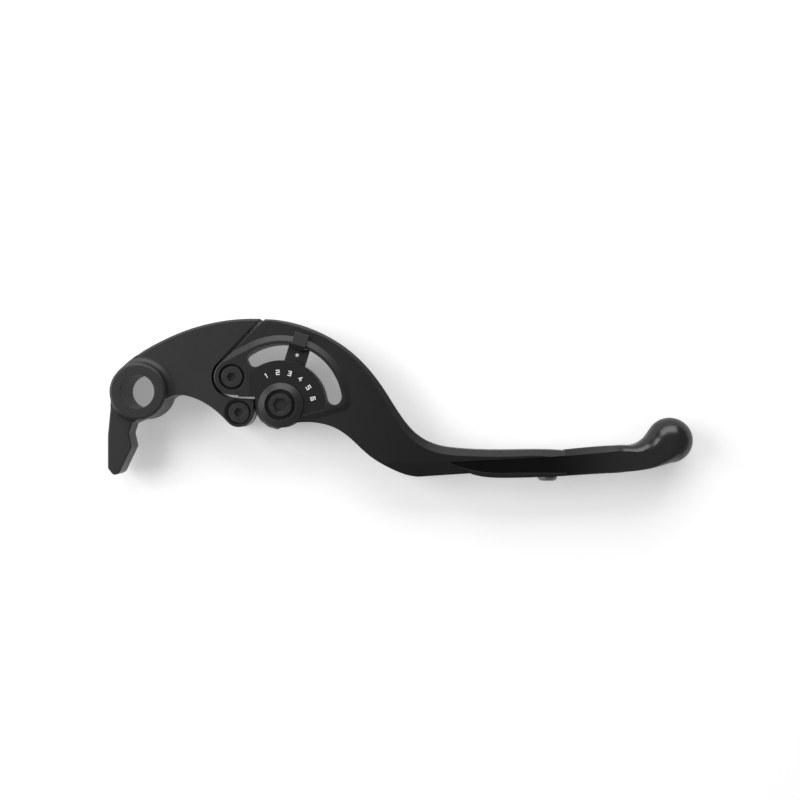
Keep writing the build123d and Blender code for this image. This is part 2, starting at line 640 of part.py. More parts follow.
def flat_radius(position):
    """Distance of one flat from the dial's axis: the first position reaches furthest."""
    return REST_RADIUS + (REST_POSITION - position) * STEP_REACH


def flat_corner(position):
    """Corner between one flat and the next."""
    normal = CONTACT_ANGLE + (position - REST_POSITION) * STEP_DEG
    ratio = flat_radius(position + 1) / flat_radius(position)
    turn = degrees(atan2(ratio - cos(radians(STEP_DEG)), sin(radians(STEP_DEG))))
    return at(DIAL, flat_radius(position) / cos(radians(turn)), normal + turn)


def cam():
    """Six flats towards the sleeve, six notches for the detent ball, journal and key."""
    corners = [flat_corner(position) for position in range(0, POSITIONS + 1)]
    flats = Polyline(*corners)
    free_start = at(DIAL, CAM_FREE_R, CAM_FREE_FROM)
    free_end = at(DIAL, CAM_FREE_R, CAM_FREE_TO)
    back_start = at(DIAL, CAM_BACK_R, CAM_BACK_FROM)
    back_end = at(DIAL, CAM_BACK_R, CAM_BACK_TO)
    face = make_face([
        flats,
        Line(corners[-1], free_start),
        ThreePointArc(free_start, at(DIAL, CAM_FREE_R, (CAM_FREE_FROM + CAM_FREE_TO) / 2), free_end),
        Line(free_end, back_start),
        ThreePointArc(back_start, at(DIAL, CAM_BACK_R, (CAM_BACK_FROM + CAM_BACK_TO) / 2), back_end),
        Line(back_end, corners[0]),
    ])
    body = slab(face, CAM_BOTTOM, CAM_TOP)
    body = chamfer(body.faces().filter_by(Plane.XY).edges(), CAM_EDGE)
    for position in range(1, POSITIONS + 1):
        angle = DETENT_ANGLE + (position - REST_POSITION) * STEP_DEG
        centre = at(DIAL, CAM_BACK_R + DETENT_BALL_R - NOTCH_DEPTH, angle)
        body -= Pos(centre[0], centre[1], DETENT_Z) * Sphere(DETENT_BALL_R)
    body += disc(DIAL, JOURNAL_R, -UNDER_FLOOR, CAM_BOTTOM)
    key = Pos(*DIAL) * Rot(0, 0, ARM_ANGLE) * Rectangle(KEY_AF, KEY_AF)
    body += slab(key, CAM_TOP, ARM_TOP - 0.1)
    return body - disc(DIAL, BOLT_R + FIT, -BODY_HALF - OVER, BODY_HALF)


def tab_body():
    """Thumb tab: a narrow riser in the window and a wider plate above the raised face."""
    under = DIAL_TOP + TAB_CLEAR
    plate = make_face(Polyline(
        (TAB_ROOT, TAB_ROOT_WIDTH), (TAB_OUTER, TAB_HALF_WIDTH), (TAB_OUTER, -TAB_HALF_WIDTH),
        (TAB_ROOT, -TAB_ROOT_WIDTH), (TAB_ROOT, TAB_ROOT_WIDTH),
    ))
    tab = block((TAB_INNER, RISER_OUTER), (-RISER_HALF_WIDTH, RISER_HALF_WIDTH), ARM_TOP, TAB_TOP)
    tab += slab(plate, under, TAB_TOP + OVER)
    crest = (TAB_CREST, 0, TAB_TOP)
    for tilt in (-TAB_RAMP, TAB_TILT):
        face = Plane(crest, z_dir=(sin(radians(tilt)), 0, cos(radians(tilt))))
        tab = split(tab, bisect_by=face, keep=Keep.BOTTOM)
    return Pos(DIAL[0], DIAL[1], 0) * Rot(0, 0, ARM_ANGLE) * tab


def indicator_arm():
    """Arm keyed to the cam, with the thumb tab at its end."""
    body = disc(DIAL, HUB_R, ARM_BOTTOM, ARM_TOP)
    body += bar(DIAL, ARM_ANGLE, 0, RISER_OUTER, ARM_HALF_WIDTH, ARM_BOTTOM, ARM_TOP)
    body += tab_body()
    key = Pos(*DIAL) * Rot(0, 0, ARM_ANGLE) * Rectangle(KEY_AF + 2 * FIT, KEY_AF + 2 * FIT)
    body -= slab(key, ARM_BOTTOM - OVER, ARM_TOP + OVER)
    dot_seat = at(DIAL, DOT_AT, ARM_ANGLE)
    return body - disc(dot_seat, DOT_R + GAP, ARM_TOP - DOT_DEPTH, ARM_TOP + OVER)


def index_dot():
    """White dot set into the arm."""
    return disc(at(DIAL, DOT_AT, ARM_ANGLE), DOT_R, ARM_TOP - DOT_DEPTH, ARM_TOP + 0.05)


def cam_ring():
    """Bevelled ring over the dial, whose skirt runs in the scale plate."""
    shoulder = RING_TOP - RING_EDGE_H
    body = disc(DIAL, RING_R, RING_BOTTOM, shoulder)
    body += Pos(DIAL[0], DIAL[1], (shoulder + RING_TOP) / 2) * Cone(RING_R, RING_R - RING_EDGE, RING_EDGE_H)
    body += disc(DIAL, SKIRT_R, ARM_TOP, RING_BOTTOM)
    body -= disc(DIAL, RING_RECESS_R, RING_BOTTOM, RING_TOP + OVER)
    return body - disc(DIAL, BOLT_R + FIT, 0, RING_TOP)


def cam_bolt():
    """Socket screw through ring, arm, cam and lower cheek."""
    top = RING_TOP - BOLT_DROP
    head = disc(DIAL, BOLT_HEAD_R, RING_BOTTOM, top)
    head = chamfer(head.edges().filter_by(GeomType.CIRCLE).sort_by(Axis.Z)[-1:], BOLT_EDGE)
    shank = disc(DIAL, BOLT_R, CAM_NUT_BOTTOM, RING_BOTTOM)
    return head + shank - hex_prism(DIAL, BOLT_SOCKET_AF, top - SOCKET_DEPTH, top + OVER)


def cam_washer():
    """Washer that holds the cam in the lower cheek."""
    body = disc(DIAL, CAM_WASHER_R, -WASHER_TOP - CAM_WASHER_H, -WASHER_TOP)
    return body - disc(DIAL, BOLT_R + GAP, -BODY_HALF - OVER, 0)


def cam_nut():
    """Low nut under the washer."""
    body = hex_prism(DIAL, CAM_NUT_AF, CAM_NUT_BOTTOM, -WASHER_TOP - CAM_WASHER_H)
    return body - disc(DIAL, BOLT_R + GAP, -BODY_HALF - 2 * OVER, 0)


def detent_ball():
    """Ball that clicks into the cam's notches, drawn lifted between two of them."""
    centre = at(DIAL, CAM_BACK_R + DETENT_BALL_R + FIT, DETENT_ANGLE)
    return Pos(centre[0], centre[1], DETENT_Z) * Sphere(DETENT_BALL_R)


def detent_spring():
    """Spring behind the detent ball."""
    behind = CAM_BACK_R + 2 * DETENT_BALL_R + FIT + GAP
    start = at(DIAL, behind, DETENT_ANGLE)
    direction = (cos(radians(DETENT_ANGLE)), sin(radians(DETENT_ANGLE)), 0)
    length = DETENT_BORE_END - behind - GAP
    return spring((start[0], start[1], DETENT_Z), direction, length, 0.75, 0.15, 4)


# ---- tip ------------------------------------------------------------------------------------
GRIP_END = (144.0, -15.95)          # outer and inner corner where the grip runs into the neck
GRIP_END_LOW = (144.0, -24.0)


def tip_section(outer, inner, half_height, power):
    """Upright cross-section between an outer and an inner point, from an ellipse to nearly a box."""
    across = Vector(*outer) - Vector(*inner)
    half_width = across.length / 2
    quarters = []
    for quarter in range(4):
        points = []
        for i in range(QUARTER_POINTS):
            turn = pi / 2 * (quarter + i / (QUARTER_POINTS - 1))
            side = copysign(abs(cos(turn)) ** (2 / power) * half_width, cos(turn))
            up = copysign(abs(sin(turn)) ** (2 / power) * half_height, sin(turn))
            points.append((round(side, 4), round(up, 4)))
        start = (round(-sin(pi / 2 * quarter)), round(cos(pi / 2 * quarter)))
        end = (-start[1], start[0])
        quarters.append(Spline(points, tangents=[start, end]))
    middle = (Vector(*outer) + Vector(*inner)) / 2
    plane = Plane(middle, x_dir=across, z_dir=(-across.Y, across.X, 0))
    return plane * make_face(quarters)


def grip_tip():
    """Tip insert: a tongue in the arm's slot, the full-width grip and the ball end."""
    outer = Spline([(BLADE_END, -17.25), (132.0, -16.7), (137.5, -16.25), GRIP_END])
    inner = Spline([GRIP_END_LOW, (137.0, -24.36), (132.0, -24.65), SEAM_LOW])
    close = Line(SEAM_LOW, (BLADE_END, -17.25))
    body = slab(make_face([outer, Line(GRIP_END, GRIP_END_LOW), inner, close]), -ARM_HALF, ARM_HALF)
    bevel = outer_bevel(outer, 4)
    body = body - bevel - mirror(bevel, Plane.XY)
    stations = [
        ((143.0, -16.3), (143.0, -23.95), 4.45, 5.0),
        ((146.6, -15.95), (147.4, -23.8), 4.65, 4.0),
        ((149.4, -14.65), (151.2, -23.3), 4.9, 3.0),
        ((151.5, -12.7), (154.6, -22.4), 5.6, 2.4),
        ((154.6, -10.9), (157.3, -21.0), 5.8, 2.0),
    ]
    neck = loft([tip_section(*station) for station in stations])
    ball = Pos(BALL[0], BALL[1], 0) * Sphere(BALL_R)
    tongue = slab(slot_face(INSERT_FIT), -ARM_HALF + INSERT_DROP, ARM_HALF - INSERT_DROP)
    tongue &= block((SLOT_POINT[0], BLADE_END), (SEAM_LOW[1], SEAM_TOP[1]), -ARM_HALF, ARM_HALF)
    body = body + neck + ball + tongue
    return body - Pos(TIP_SCREW_X, TIP_THREAD_Y, 0) * Rot(90, 0, 0) * Cylinder(INSERT_R, INSERT_LENGTH + 0.5)


def tip_nut():
    """Threaded brass insert in the tongue."""
    body = Cylinder(INSERT_R, INSERT_LENGTH) - Cylinder(TIP_SCREW_R + GAP, INSERT_LENGTH + OVER)
    return Pos(TIP_SCREW_X, TIP_THREAD_Y, 0) * Rot(90, 0, 0) * body


def tip_screw():
    """Button-head screw from the handlebar side."""
    seat = Plane((TIP_SCREW_X, RAIL_OUTER - 0.1, 0), z_dir=(0, -1, 0))
    head = Pos(0, 0, TIP_HEAD_H / 2) * Cylinder(TIP_HEAD_R, TIP_HEAD_H)
    rim = head.edges().filter_by(GeomType.CIRCLE).sort_by(Axis.Z)[-1:]
    head = fillet(rim, TIP_HEAD_EDGE_R)
    shank = Pos(0, 0, -TIP_SHANK / 2) * Cylinder(TIP_SCREW_R, TIP_SHANK)
    hexagon = Pos(0, 0, TIP_HEAD_H - TIP_SOCKET_DEPTH) * RegularPolygon(TIP_SOCKET_R, 6, major_radius=False)
    socket = extrude(hexagon, TIP_SOCKET_DEPTH + OVER)
    return seat * (head + shank - socket)


NODES = {
    "adapter": adapter(),
    "hinge_bush": hinge_bush(),
    "contact_sleeve": contact_sleeve(),
    "contact_screw": low_head_screw(CONTACT, CONTACT_SEAT, -EAR_HALF),
    "blade": blade(),
    "scale_plate": scale_plate(),
    "hinge_screw": low_head_screw(HINGE, HINGE_SEAT, -BODY_HALF + 0.2),
    "hinge_nut": hinge_nut(),
    "hinge_washers": hinge_washers(),
    "return_spring": return_spring(),
    "detent_ball": detent_ball(),
    "detent_spring": detent_spring(),
    "grip_tip": grip_tip(),
    "tip_nut": tip_nut(),
    "tip_screw": tip_screw(),
    "cam": cam(),
    "indicator_arm": indicator_arm(),
    "index_dot": index_dot(),
    "cam_ring": cam_ring(),
    "cam_bolt": cam_bolt(),
    "cam_washer": cam_washer(),
    "cam_nut": cam_nut(),
}

os.makedirs("parts", exist_ok=True)
for name, shape in NODES.items():
    export_step(shape, f"parts/{name}.step")
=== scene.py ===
from math import atan2, cos, degrees, pi, radians, sin

import bmesh
import bpy
from mathutils import Matrix, Vector


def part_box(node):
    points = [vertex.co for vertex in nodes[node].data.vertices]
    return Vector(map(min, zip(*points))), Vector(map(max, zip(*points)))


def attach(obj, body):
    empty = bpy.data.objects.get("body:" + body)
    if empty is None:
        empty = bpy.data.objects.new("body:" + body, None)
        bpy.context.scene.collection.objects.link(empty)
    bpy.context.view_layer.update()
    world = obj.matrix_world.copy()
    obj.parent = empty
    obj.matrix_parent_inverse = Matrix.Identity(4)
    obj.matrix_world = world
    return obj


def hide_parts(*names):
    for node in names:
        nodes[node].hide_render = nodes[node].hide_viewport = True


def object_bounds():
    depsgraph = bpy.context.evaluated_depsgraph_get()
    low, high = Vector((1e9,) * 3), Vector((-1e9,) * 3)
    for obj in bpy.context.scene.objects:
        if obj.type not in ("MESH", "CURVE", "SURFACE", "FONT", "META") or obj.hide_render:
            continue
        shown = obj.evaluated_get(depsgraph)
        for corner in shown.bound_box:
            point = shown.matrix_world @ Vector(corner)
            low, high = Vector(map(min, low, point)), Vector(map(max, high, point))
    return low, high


# Adjustable motorcycle control lever. The origin is the pivot bore, +X runs to the ball end, +Y
# away from the handlebar, +Z to the numbered side. Lengths are in metres, except in the section
# on the tip insert.

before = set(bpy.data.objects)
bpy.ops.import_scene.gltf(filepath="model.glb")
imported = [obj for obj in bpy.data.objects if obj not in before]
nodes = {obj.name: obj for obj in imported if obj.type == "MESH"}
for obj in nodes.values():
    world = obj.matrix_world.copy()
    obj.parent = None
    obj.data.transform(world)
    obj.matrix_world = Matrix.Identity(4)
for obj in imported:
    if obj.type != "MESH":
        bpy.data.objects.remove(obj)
cad_low, cad_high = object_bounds()
MM = 0.001


# ---- places taken from the frame ------------------------------------------------------------
def middle(node):
    """Centre of a CAD node's box."""
    low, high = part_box(node)
    return (low + high) / 2


DIAL = middle("cam_ring")
DOT = middle("index_dot")
PLATE_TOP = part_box("scale_plate")[1].z
STEP_DEG = 21.0
REST_POSITION = 3
FIGURE_TURN_DEG = 1.2           # a figure stands this far round from the dot that points at it
REST_ANGLE = degrees(atan2(DOT.y - DIAL.y, DOT.x - DIAL.x)) + FIGURE_TURN_DEG


# ---- objects and meshes ---------------------------------------------------------------------
def add_object(name, data):
    """Puts a new object into the scene."""
    item = bpy.data.objects.new(name, data)
    bpy.context.scene.collection.objects.link(item)
    return item


def new_mesh(name, fill):
    """A mesh of what a function adds to an empty bmesh, with the faces turned outwards."""
    work = bmesh.new()
    fill(work)
    bmesh.ops.recalc_face_normals(work, faces=work.faces)
    mesh = bpy.data.meshes.new(name)
    work.to_mesh(mesh)
    work.free()
    return mesh


# ---- material nodes -------------------------------------------------------------------------
BEVEL_SAMPLES = 6
FLAT_COSINE = 0.995             # between true and rounded normal: no wear above this
EDGE_COSINE = 0.80              # full wear below this
BLADE_PAINTED_SHADE_X = (0.050, 0.085)  # the blade's reflection dims between these places: painted shade where light falls off along the blade
TIP_SHADE_TO_GLOSS_X = (0.118, 0.150)    # the tip's painted shade on the tongue gives way to gloss between these


def new_material(name):
    """An empty node material with a Principled shader."""
    material = bpy.data.materials.new(name)
    material.use_nodes = True
    shader = material.node_tree.nodes["Principled BSDF"]
    return material, material.node_tree, shader


def noise(tree, scale, detail=3.0, roughness=0.5, stretch=None):
    """A noise texture on object coordinates, in cycles per metre."""
    place = tree.nodes.new("ShaderNodeTexCoord")
    texture = tree.nodes.new("ShaderNodeTexNoise")
    texture.inputs["Scale"].default_value = scale
    texture.inputs["Detail"].default_value = detail
    texture.inputs["Roughness"].default_value = roughness
    source = place.outputs["Object"]
    if stretch:
        mapping = tree.nodes.new("ShaderNodeMapping")
        mapping.inputs["Scale"].default_value = stretch
        tree.links.new(source, mapping.inputs["Vector"])
        source = mapping.outputs["Vector"]
    tree.links.new(source, texture.inputs["Vector"])
    return texture.outputs["Fac"]


def ramp(tree, source, low, high, start=0.3, end=0.7):
    """A colour that runs from low to high while the source runs from start to end."""
    node = tree.nodes.new("ShaderNodeValToRGB")
    for element, place, colour in zip(node.color_ramp.elements, (start, end), (low, high)):
        element.position = place
        element.color = (*colour, 1)
    tree.links.new(source, node.inputs["Fac"])
    return node.outputs["Color"]


def remap(tree, source, low, high, start=0.0, end=1.0, easing="LINEAR"):
    """A value that runs from low to high while the source runs from start to end."""
    node = tree.nodes.new("ShaderNodeMapRange")
    node.interpolation_type = easing
    levels = (("From Min", start), ("From Max", end), ("To Min", low), ("To Max", high))
    for name, value in levels:
        node.inputs[name].default_value = value
    tree.links.new(source, node.inputs["Value"])
    return node.outputs["Result"]


def multiply(tree, first, second):
    """Product of two values."""
    node = tree.nodes.new("ShaderNodeMath")
    node.operation = "MULTIPLY"
    tree.links.new(first, node.inputs[0])
    tree.links.new(second, node.inputs[1])
    return node.outputs[0]


def grey(value, tint=0.0):
    """A near neutral grey, slightly cool with a positive tint."""
    return (value * (1 - tint), value, value * (1 + tint))


def soft_edges(tree, radius):
    """Normal with rounded edges."""
    bevel = tree.nodes.new("ShaderNodeBevel")
    bevel.samples = BEVEL_SAMPLES
    bevel.inputs["Radius"].default_value = radius
    return bevel.outputs["Normal"]


def edge_mask(tree, radius):
    """1 on edges sharper than the radius, 0 on flat ground."""
    geometry = tree.nodes.new("ShaderNodeNewGeometry")
    dot = tree.nodes.new("ShaderNodeVectorMath")
    dot.operation = "DOT_PRODUCT"
    tree.links.new(soft_edges(tree, radius), dot.inputs[0])
    tree.links.new(geometry.outputs["Normal"], dot.inputs[1])
    return remap(tree, dot.outputs["Value"], 0, 1, FLAT_COSINE, EDGE_COSINE)


def bump(tree, height, distance, strength, normal=None):
    """Bump from a height, on top of another normal."""
    node = tree.nodes.new("ShaderNodeBump")
    node.inputs["Distance"].default_value = distance
    node.inputs["Strength"].default_value = strength
    tree.links.new(height, node.inputs["Height"])
    if normal is not None:
        tree.links.new(normal, node.inputs["Normal"])
    return node.outputs["Normal"]


def mix_colour(tree, factor, first, second):
    """Mix of two colours by a factor."""
    node = tree.nodes.new("ShaderNodeMix")
    node.data_type = "RGBA"
    tree.links.new(factor, node.inputs["Factor"])
    for socket, value in ((node.inputs["A"], first), (node.inputs["B"], second)):
        if isinstance(value, tuple):
            socket.default_value = (*value, 1)
        else:
            tree.links.new(value, socket)
    return node.outputs["Result"]


def along_lever(tree, start, end, low, high):
    """A value that eases from low to high between two places along the lever."""
    place = tree.nodes.new("ShaderNodeTexCoord")
    apart = tree.nodes.new("ShaderNodeSeparateXYZ")
    tree.links.new(place.outputs["Object"], apart.inputs[0])
    return remap(tree, apart.outputs["X"], low, high, start, end, "SMOOTHSTEP")


# ---- materials ------------------------------------------------------------------------------
def anodised(name, base, worn, rough=0.42, gloss=0.5, shaded_far_gloss=None):
    """Bead-blasted black anodising: fine grain, faint clouding, edges polished by use."""
    material, tree, shader = new_material(name)
    edge = 0.25 * MM
    cloud = noise(tree, 90, 4)
    colour = ramp(tree, cloud, grey(base * 0.86), grey(base * 1.14, 0.01))
    scuff = noise(tree, 420, 5, 0.65)
    broken = ramp(tree, scuff, (0, 0, 0), (1, 1, 1), 0.35, 0.65)
    wear = multiply(tree, edge_mask(tree, edge), broken)
    tree.links.new(mix_colour(tree, wear, colour, grey(worn)), shader.inputs["Base Color"])
    if shaded_far_gloss is None:
        shader.inputs["Specular IOR Level"].default_value = gloss
    else:
        # painted shade: the reflection dims along the lever, for light that falls off towards the
        # tip
        level = along_lever(tree, *BLADE_PAINTED_SHADE_X, gloss, shaded_far_gloss)
        tree.links.new(level, shader.inputs["Specular IOR Level"])
    roughness = remap(tree, noise(tree, 1500, 2), rough - 0.06, rough + 0.07)
    tree.links.new(roughness, shader.inputs["Roughness"])
    grain = noise(tree, 5200, 2, 0.6)
    normal = bump(tree, grain, 0.03 * MM, 0.35, soft_edges(tree, edge))
    tree.links.new(normal, shader.inputs["Normal"])
    return material


def turned(name, base, worn, centre):
    """Anodised metal with fine turning marks round an axis."""
    material, tree, shader = new_material(name)
    rough = 0.42
    place = tree.nodes.new("ShaderNodeTexCoord")
    shift = tree.nodes.new("ShaderNodeMapping")
    shift.inputs["Location"].default_value = (-centre.x, -centre.y, 0)
    tree.links.new(place.outputs["Object"], shift.inputs["Vector"])
    rings = tree.nodes.new("ShaderNodeTexWave")
    rings.wave_type = "RINGS"
    rings.rings_direction = "Z"
    rings.inputs["Scale"].default_value = 1900
    rings.inputs["Distortion"].default_value = 1.4
    rings.inputs["Detail"].default_value = 2
    tree.links.new(shift.outputs["Vector"], rings.inputs["Vector"])
    cloud = noise(tree, 300, 4)
    colour = ramp(tree, cloud, grey(base * 0.85), grey(base * 1.15))
    colour = mix_colour(tree, edge_mask(tree, 0.18 * MM), colour, grey(worn))
    tree.links.new(colour, shader.inputs["Base Color"])
    tree.links.new(remap(tree, cloud, rough - 0.05, rough + 0.07), shader.inputs["Roughness"])
    marks = bump(tree, rings.outputs["Fac"], 0.01 * MM, 0.25, soft_edges(tree, 0.15 * MM))
    tree.links.new(marks, shader.inputs["Normal"])
    return material


def steel(name, base, rough, metallic=0.9, grain=(1, 1, 1)):
    """Hardened or drawn steel with a fine directional grain and brighter edges."""
    material, tree, shader = new_material(name)
    edge = 0.12 * MM
    bright = grey(min(base * 2.2, 0.7))
    cloud = noise(tree, 500, 4, 0.6)
    colour = ramp(tree, cloud, grey(base * 0.8), grey(base * 1.2, 0.01))
    colour = mix_colour(tree, edge_mask(tree, edge), colour, bright)
    tree.links.new(colour, shader.inputs["Base Color"])
    shader.inputs["Metallic"].default_value = metallic
    tree.links.new(remap(tree, cloud, rough - 0.06, rough + 0.08), shader.inputs["Roughness"])
    lines = noise(tree, 2600, 3, 0.6, grain)
    normal = bump(tree, lines, 0.008 * MM, 0.3, soft_edges(tree, edge))
    tree.links.new(normal, shader.inputs["Normal"])
    return material


def gloss_tip():
    """Moulded black polymer with handling scratches, glossier to the ball; painted shade darkens
    and dulls the tongue and darkens the rim.
    """
    material, tree, shader = new_material("tip_gloss_black_painted_shade")
    cloud = noise(tree, 60, 3)
    # painted shade: the tongue is darker and less reflective than the grip and ball
    gloss_past_painted_shade = along_lever(tree, *TIP_SHADE_TO_GLOSS_X, 0, 1)
    tongue_painted_shade = ramp(tree, cloud, grey(0.0015), grey(0.0025))
    glossy = ramp(tree, cloud, grey(0.0015), grey(0.003, 0.02))
    tree.links.new(mix_colour(tree, gloss_past_painted_shade, tongue_painted_shade, glossy), shader.inputs["Base Color"])
    # painted shade: the reflection fades towards grazing angles, darkening the tip's rim
    facing = tree.nodes.new("ShaderNodeLayerWeight")
    facing.inputs["Blend"].default_value = 0.6
    painted_rim_shade = remap(tree, facing.outputs["Facing"], 1.3, 0.0)
    level = multiply(tree, remap(tree, gloss_past_painted_shade, 0.10, 0.56), painted_rim_shade)
    tree.links.new(level, shader.inputs["Specular IOR Level"])
    scratches = noise(tree, 700, 6, 0.7, (0.25, 2.5, 1))
    tree.links.new(remap(tree, scratches, 0.19, 0.31), shader.inputs["Roughness"])
    ripple = noise(tree, 320, 2)
    tree.links.new(bump(tree, ripple, 0.02 * MM, 0.15), shader.inputs["Normal"])
    return material


def plain_polymer(name, base, rough):
    """Moulded or printed polymer with a fine matt grain."""
    material, tree, shader = new_material(name)
    colour = ramp(tree, noise(tree, 800, 3), grey(base * 0.93), grey(base))
    tree.links.new(colour, shader.inputs["Base Color"])
    shader.inputs["Roughness"].default_value = rough
    tree.links.new(bump(tree, noise(tree, 6000, 2), 0.01 * MM, 0.2), shader.inputs["Normal"])
    return material


def copper_alloy(name, base, rough):
    """Bronze or brass with a mottled, slightly porous surface."""
    material, tree, shader = new_material(name)
    darker = tuple(c * 0.7 for c in base)
    colour = ramp(tree, noise(tree, 1200, 4), darker, base, 0.35, 0.65)
    tree.links.new(colour, shader.inputs["Base Color"])
    shader.inputs["Metallic"].default_value = 0.95
    roughness = remap(tree, noise(tree, 900, 3), rough - 0.08, rough + 0.08)
    tree.links.new(roughness, shader.inputs["Roughness"])
    pores = noise(tree, 4000, 3)
    normal = bump(tree, pores, 0.012 * MM, 0.3, soft_edges(tree, 0.1 * MM))
    tree.links.new(normal, shader.inputs["Normal"])
    return material


MATERIALS = {
    # painted light and shade: the adapter's anodising is set lighter than the blade's, standing
    # in for light that falls off from the pivot end towards the tip
    "adapter": anodised("adapter_anodised", 0.012, 0.035),
    # painted shade: the blade's reflection also dims from the middle of the blade towards the tip
    "blade": anodised("blade_anodised", 0.006, 0.028, gloss=0.5, shaded_far_gloss=0.3),
    "scale_plate": anodised("plate_anodised", 0.006, 0.02, rough=0.46, gloss=0.35),
    "indicator_arm": anodised("arm_anodised", 0.016, 0.05, rough=0.4),
    "cam_ring": turned("ring_turned", 0.010, 0.04, DIAL),
    "cam": steel("cam_dark_steel", 0.16, 0.4),
    "contact_sleeve": steel("sleeve_ground_steel", 0.35, 0.28, grain=(1, 1, 8)),
    "tip_screw": steel("tip_screw_stainless", 0.2, 0.35),
    "hinge_bush": copper_alloy("bush_bronze", (0.45, 0.28, 0.12), 0.4),
    "tip_nut": copper_alloy("insert_brass", (0.62, 0.45, 0.2), 0.35),
    "hinge_washers": plain_polymer("washer_acetal", 0.62, 0.5),
    "index_dot": plain_polymer("mark_white", 0.95, 0.5),
    "grip_tip": gloss_tip(),
}
BLACK_STEEL = steel("screws_black_oxide", 0.038, 0.38, metallic=0.6)
SPRING_STEEL = steel("spring_wire", 0.3, 0.3)
for name in ("hinge_screw", "contact_screw", "cam_bolt", "hinge_nut", "cam_nut"):
    MATERIALS[name] = BLACK_STEEL
for name in ("return_spring", "detent_spring", "detent_ball", "cam_washer"):
    MATERIALS[name] = SPRING_STEEL

for name, node in nodes.items():
    node.data.materials.clear()
    node.data.materials.append(MATERIALS[name])


# ---- numerals -------------------------------------------------------------------------------
# Squarish figures as strokes on a grid.
GRID_WIDE = 2
GRID_HIGH = 3
FIGURES = {
    1: [[(0.55, 2.45), (1.15, 3.0), (1.15, 0.0)]],
    2: [[(0.0, 3.0), (2.0, 3.0), (2.0, 1.55), (0.0, 1.55), (0.0, 0.0), (2.0, 0.0)]],
    3: [[(0.0, 3.0), (2.0, 3.0), (2.0, 0.0), (0.0, 0.0)], [(0.5, 1.55), (1.85, 1.55)]],
    4: [[(1.5, 0.0), (1.5, 3.0), (0.0, 1.0), (2.1, 1.0)]],
    5: [[(2.0, 3.0), (0.0, 3.0), (0.0, 1.6), (2.0, 1.6), (2.0, 0.0), (0.0, 0.0)]],
    6: [[(1.8, 3.0), (0.0, 3.0), (0.0, 0.0), (2.0, 0.0), (2.0, 1.6), (0.15, 1.6)]],
}
FIGURE_HEIGHT = 1.25 * MM
FIGURE_R = 9.7 * MM             # from the dial's axis to the middle of a figure
STROKE = 0.24 * MM
PAINT = 0.015 * MM              # thickness of the paint
PAINT_SUNK = 0.2                # share of the thickness that lies in the plate
STROKE_LIFT = 0.25              # share by which a figure's next stroke stands higher
MITRE_LIMIT = 0.5
MERGE_DISTANCE = 1e-7


def stroke_sides(points, half):
    """Left and right side of a polyline of some width, mitred at its corners."""
    left, right = [], []
    last = len(points) - 1
    for i, point in enumerate(points):
        before = (point - points[i - 1]).normalized() if i else (points[1] - point).normalized()
        after = (points[i + 1] - point).normalized() if i < last else before
        normal = Vector((-(before + after).y, (before + after).x)).normalized()
        reach = half / max(normal.dot(Vector((-before.y, before.x))), MITRE_LIMIT)
        end = before * (half if i == last else -half if i == 0 else 0)
        left.append(point + normal * reach + end)
        right.append(point - normal * reach + end)
    return left, right


def add_strokes(work, figure):
    """A figure's strokes as thin slabs, with the dial's radius upwards."""
    unit = FIGURE_HEIGHT / GRID_HIGH
    for lift, stroke in enumerate(FIGURES[figure]):
        points = [
            Vector(((x - GRID_WIDE / 2) * unit, FIGURE_R + (y - GRID_HIGH / 2) * unit))
            for x, y in stroke
        ]
        left, right = stroke_sides(points, STROKE / 2)
        height = PAINT * (1 + STROKE_LIFT * lift)
        for i in range(len(points) - 1):
            corners = [left[i], right[i], right[i + 1], left[i + 1]]
            top = [work.verts.new((c.x, c.y, height)) for c in corners]
            base = [work.verts.new((c.x, c.y, -PAINT_SUNK * PAINT)) for c in corners]
            work.faces.new(top)
            work.faces.new(base[::-1])
            for k in range(len(corners)):
                work.faces.new((top[k - 1], base[k - 1], base[k], top[k]))
    bmesh.ops.remove_doubles(work, verts=work.verts, dist=MERGE_DISTANCE)


def numeral(figure):
    """One painted figure on the scale plate, upright along the dial's radius."""
    angle = radians(REST_ANGLE + (REST_POSITION - figure) * STEP_DEG)
    on_plate = Matrix.Translation((DIAL.x, DIAL.y, PLATE_TOP))
    mesh = new_mesh(f"numeral_{figure}", lambda work: add_strokes(work, figure))
    mesh.transform(on_plate @ Matrix.Rotation(angle - pi / 2, 4, "Z"))
    piece = add_object(f"numeral_{figure}", mesh)
    mesh.materials.append(MATERIALS["index_dot"])
    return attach(piece, "blade")


for figure in FIGURES:
    numeral(figure)


# ---- tip insert -----------------------------------------------------------------------------
# One piece: the tongue in the arm's slot, and a skin over grip and neck that meets the ball in
# its middle section. Sections are upright, from an outer to an inner point. The grip's are boxes
# with a steep bevel on the outer side. The neck's have a flat top with a round shoulder that
# widens until the section is the ball's circle. All lengths here are in millimetres.
BALL = (158.25, -14.6)
BALL_R = 6.8
SEAM_X = 126.5
SHARP_DEG = 28                  # faces that meet at more than this keep a sharp edge

QUARTER_STEPS = 16
SIDE_END = 0.25                 # shares of a quarter section at which its side ends
BEVEL_END = 0.75                # and its bevel or shoulder ends
CREASE_TURN = 50                # degrees of the shoulder's arc where it ends in a crease
CREASE_RISE = 1.3               # height of that shoulder over its width

GRIP_STEPS = 60
OUTER_RUN = 28.42               # along the lever, from the seam to the ball's middle section
INNER_RUN = 35.08
INNER_SPACING = 1.15            # above 1, the inner points lie closer together near the seam
OUTER_BEVEL = 1.75
OUTER_BEVEL_DROP = 3.7
BEVEL_LESS = 0.3                # the outer bevel gets narrower by this
BEVEL_NARROWS = (136, 147)
INNER_BEVEL = 0.35
BOX_ROUNDS = (141.5, 145.0)
CREASE_FADES = (147.5, 155.5)

